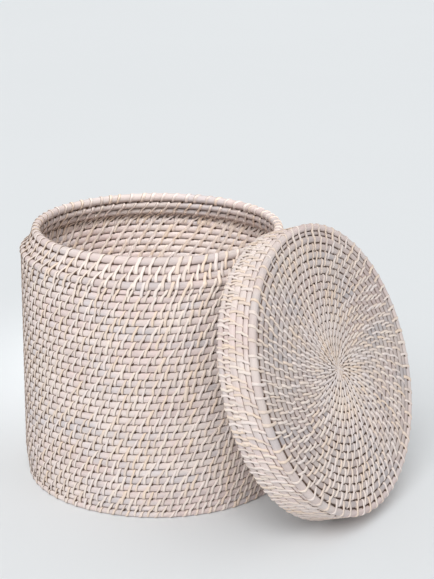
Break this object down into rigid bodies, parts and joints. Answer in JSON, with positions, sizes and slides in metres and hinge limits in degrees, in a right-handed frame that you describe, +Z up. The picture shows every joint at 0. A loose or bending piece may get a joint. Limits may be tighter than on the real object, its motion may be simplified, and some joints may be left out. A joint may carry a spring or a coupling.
{
  "type": "laundry basket",
  "caption": "Round coiled rattan laundry basket with a stepped neck and a loose coiled lid that leans against its rim.",
  "frame": {"origin": "centre of the base's underside, on the basket's axis, at floor level", "axes": "+Z up the basket's axis; +X from the basket's axis towards the leaning lid; +Y completes the right-handed frame"},
  "size_m": [0.5428, 0.394, 0.3883],
  "materials": {
    "basket_cane": "whitewashed rattan, matt",
    "rim_cane": "whitewashed rattan, closely bound, matt",
    "lid_cane": "whitewashed rattan, greyer, matt",
    "lid_edge_cane": "whitewashed rattan, closely bound, matt"
  },
  "bodies": {
    "basket": {"base_start_disc": "basket_cane", "base_cane_1": "basket_cane", "base_cane_2": "basket_cane", "base_cane_3": "basket_cane", "base_corner_ring": "basket_cane", "wall_cane_1": "basket_cane", "wall_cane_2": "basket_cane", "wall_cane_3": "basket_cane", "wall_cane_4": "basket_cane", "wall_cane_5": "basket_cane", "wall_cane_6": "basket_cane", "wall_cane_7": "basket_cane", "wall_cane_8": "basket_cane", "shoulder_ring": "rim_cane", "neck_ring_lower": "basket_cane", "neck_ring_upper": "basket_cane", "rim_ring": "rim_cane"},
    "lid": {"lid_start_disc": "lid_cane", "lid_cane_1": "lid_cane", "lid_cane_2": "lid_cane", "lid_cane_3": "lid_cane", "lid_corner_ring": "lid_edge_cane", "lid_skirt_cane": "lid_cane", "lid_edge_ring": "lid_edge_cane"}
  },
  "joints": [
    {"name": "lid_lift", "type": "slide", "parent": "basket", "child": "lid", "axis": [0.9409, 0, 0.3387], "range_m": [0, 0.25]}
  ]
}
